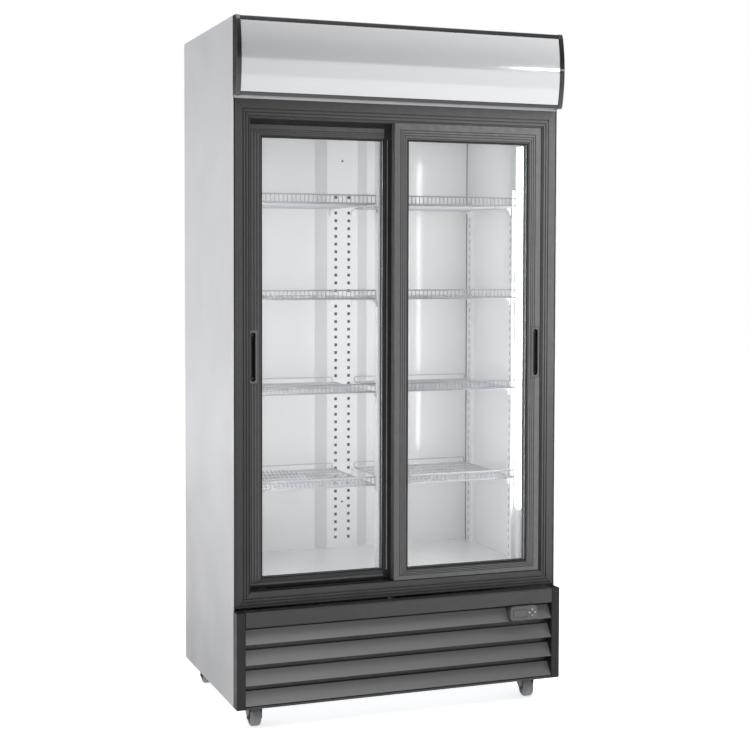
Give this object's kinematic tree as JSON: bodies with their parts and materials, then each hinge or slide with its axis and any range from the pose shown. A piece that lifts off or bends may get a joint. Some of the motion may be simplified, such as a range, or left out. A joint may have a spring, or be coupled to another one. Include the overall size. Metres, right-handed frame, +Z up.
{
  "type": "glass door merchandiser",
  "caption": "Upright display cooler with sliding glass doors, a bowed light canopy, wire shelves on slotted uprights, a louvred plinth and casters.",
  "frame": {"origin": "centre of the bounding box at floor level, under the wheels", "axes": "+Z up, -Y out of the glass doors, +X to the right as seen from the front"},
  "size_m": [1, 0.6179, 1.99],
  "materials": {
    "panel_grey": "satin",
    "sheet_zinc": "satin",
    "liner_white": "satin",
    "foam": "matte",
    "frame_grey": "satin",
    "canopy_black": "gloss",
    "canopy_white": "gloss",
    "glass": "clear",
    "handle_grey": "satin",
    "nylon": "matte",
    "led": "glowing diffuser",
    "louvre_grey": "satin",
    "controller_black": "gloss",
    "button_grey": "matte",
    "shelf_white": "plastic coated",
    "clip_white": "satin",
    "coil_aluminium": "satin",
    "fan_black": "matte",
    "shell_black": "satin",
    "caster_dark": "satin",
    "wheel_grey": "matte",
    "screw_steel": "satin"
  },
  "bodies": {
    "cabinet": {"side_panel_left": "panel_grey", "side_panel_right": "panel_grey", "top_panel": "panel_grey", "back_panel": "sheet_zinc", "base_frame": "sheet_zinc", "insulation_foam": "foam", "inner_liner": "liner_white", "frame_jambs": "frame_grey", "frame_sill": "frame_grey", "frame_header": "frame_grey", "canopy_end_caps": "canopy_black", "canopy_front_panel": "canopy_white", "canopy_housing": "canopy_black", "led_strips": "led", "grille_frame": "frame_grey", "grille_louvres": "louvre_grey", "controller_case": "controller_black", "rear_duct": "liner_white", "shelf_uprights": "liner_white", "shelf_left_1": "shelf_white", "shelf_left_2": "shelf_white", "shelf_left_3": "shelf_white", "shelf_left_4": "shelf_white", "shelf_right_1": "shelf_white", "shelf_right_2": "shelf_white", "shelf_right_3": "shelf_white", "shelf_right_4": "shelf_white", "shelf_clips": "clip_white", "evaporator_cover": "liner_white", "evaporator_coil": "coil_aluminium", "condenser_coil": "shell_black", "condenser_shroud": "shell_black", "compressor": "shell_black", "screws": "screw_steel", "caster_plates": "sheet_zinc", "rear_caster_brackets": "caster_dark"},
    "left_door": {"left_door_frame": "frame_grey", "left_door_glass": "glass", "left_door_handle": "handle_grey"},
    "left_door_roller_left": {"left_door_roller_left": "nylon"},
    "left_door_roller_right": {"left_door_roller_right": "nylon"},
    "right_door": {"right_door_frame": "frame_grey", "right_door_glass": "glass", "right_door_handle": "handle_grey"},
    "right_door_roller_left": {"right_door_roller_left": "nylon"},
    "right_door_roller_right": {"right_door_roller_right": "nylon"},
    "controller_button_up": {"controller_button_up": "button_grey"},
    "controller_button_down": {"controller_button_down": "button_grey"},
    "controller_button_set": {"controller_button_set": "button_grey"},
    "controller_button_defrost": {"controller_button_defrost": "button_grey"},
    "evaporator_fan": {"evaporator_fan": "fan_black"},
    "condenser_fan": {"condenser_fan": "fan_black"},
    "caster_fork_left": {"caster_fork_left": "caster_dark"},
    "caster_wheel_front_left": {"caster_wheel_front_left": "wheel_grey"},
    "caster_wheel_rear_left": {"caster_wheel_rear_left": "wheel_grey"},
    "caster_fork_right": {"caster_fork_right": "caster_dark"},
    "caster_wheel_front_right": {"caster_wheel_front_right": "wheel_grey"},
    "caster_wheel_rear_right": {"caster_wheel_rear_right": "wheel_grey"}
  },
  "joints": [
    {"name": "left_door_slide", "type": "slide", "parent": "cabinet", "child": "left_door", "axis": [1, 0, 0], "range_m": [0, 0.45]},
    {"name": "left_door_roller_left_spin", "type": "hinge", "parent": "left_door", "child": "left_door_roller_left", "pos_m": [-0.402, -0.215, 0.3943], "axis": [0, 1, 0], "range_deg": [-2300, 2300]},
    {"name": "left_door_roller_right_spin", "type": "hinge", "parent": "left_door", "child": "left_door_roller_right", "pos_m": [-0.048, -0.215, 0.3943], "axis": [0, 1, 0], "range_deg": [-2300, 2300]},
    {"name": "right_door_slide", "type": "slide", "parent": "cabinet", "child": "right_door", "axis": [-1, 0, 0], "range_m": [0, 0.42]},
    {"name": "right_door_roller_left_spin", "type": "hinge", "parent": "right_door", "child": "right_door_roller_left", "pos_m": [0.041, -0.247, 0.3943], "axis": [0, 1, 0], "range_deg": [-2300, 2300]},
    {"name": "right_door_roller_right_spin", "type": "hinge", "parent": "right_door", "child": "right_door_roller_right", "pos_m": [0.387, -0.247, 0.3943], "axis": [0, 1, 0], "range_deg": [-2300, 2300]},
    {"name": "button_up_press", "type": "slide", "parent": "cabinet", "child": "controller_button_up", "axis": [0, 1, 0], "range_m": [0, 0.0012], "stiffness_N_per_m": 300, "springref_m": -0.001},
    {"name": "button_down_press", "type": "slide", "parent": "cabinet", "child": "controller_button_down", "axis": [0, 1, 0], "range_m": [0, 0.0012], "stiffness_N_per_m": 300, "springref_m": -0.001},
    {"name": "button_set_press", "type": "slide", "parent": "cabinet", "child": "controller_button_set", "axis": [0, 1, 0], "range_m": [0, 0.0012], "stiffness_N_per_m": 300, "springref_m": -0.001},
    {"name": "button_defrost_press", "type": "slide", "parent": "cabinet", "child": "controller_button_defrost", "axis": [0, 1, 0], "range_m": [0, 0.0012], "stiffness_N_per_m": 300, "springref_m": -0.001},
    {"name": "evaporator_fan_spin", "type": "hinge", "parent": "cabinet", "child": "evaporator_fan", "pos_m": [0, 0.037, 1.763], "axis": [0, 0, 1], "continuous": true},
    {"name": "condenser_fan_spin", "type": "hinge", "parent": "cabinet", "child": "condenser_fan", "pos_m": [-0.24, -0.157, 0.205], "axis": [0, 1, 0], "continuous": true},
    {"name": "caster_swivel_left", "type": "hinge", "parent": "cabinet", "child": "caster_fork_left", "pos_m": [-0.428, -0.201, 0.06], "axis": [0, 0, 1], "continuous": true},
    {"name": "caster_wheel_front_left_spin", "type": "hinge", "parent": "caster_fork_left", "child": "caster_wheel_front_left", "pos_m": [-0.428, -0.223, 0.025], "axis": [1, 0, 0], "continuous": true},
    {"name": "caster_wheel_rear_left_spin", "type": "hinge", "parent": "cabinet", "child": "caster_wheel_rear_left", "pos_m": [-0.446, 0.249, 0.025], "axis": [1, 0, 0], "continuous": true},
    {"name": "caster_swivel_right", "type": "hinge", "parent": "cabinet", "child": "caster_fork_right", "pos_m": [0.428, -0.201, 0.06], "axis": [0, 0, 1], "continuous": true},
    {"name": "caster_wheel_front_right_spin", "type": "hinge", "parent": "caster_fork_right", "child": "caster_wheel_front_right", "pos_m": [0.428, -0.223, 0.025], "axis": [1, 0, 0], "continuous": true},
    {"name": "caster_wheel_rear_right_spin", "type": "hinge", "parent": "cabinet", "child": "caster_wheel_rear_right", "pos_m": [0.446, 0.249, 0.025], "axis": [1, 0, 0], "continuous": true}
  ],
  "couplings": [
    {"joint": "left_door_roller_left_spin", "follows": "left_door_slide", "rad_per_m": 83.333},
    {"joint": "left_door_roller_right_spin", "follows": "left_door_slide", "rad_per_m": 83.333},
    {"joint": "right_door_roller_left_spin", "follows": "right_door_slide", "rad_per_m": -83.333},
    {"joint": "right_door_roller_right_spin", "follows": "right_door_slide", "rad_per_m": -83.333}
  ]
}
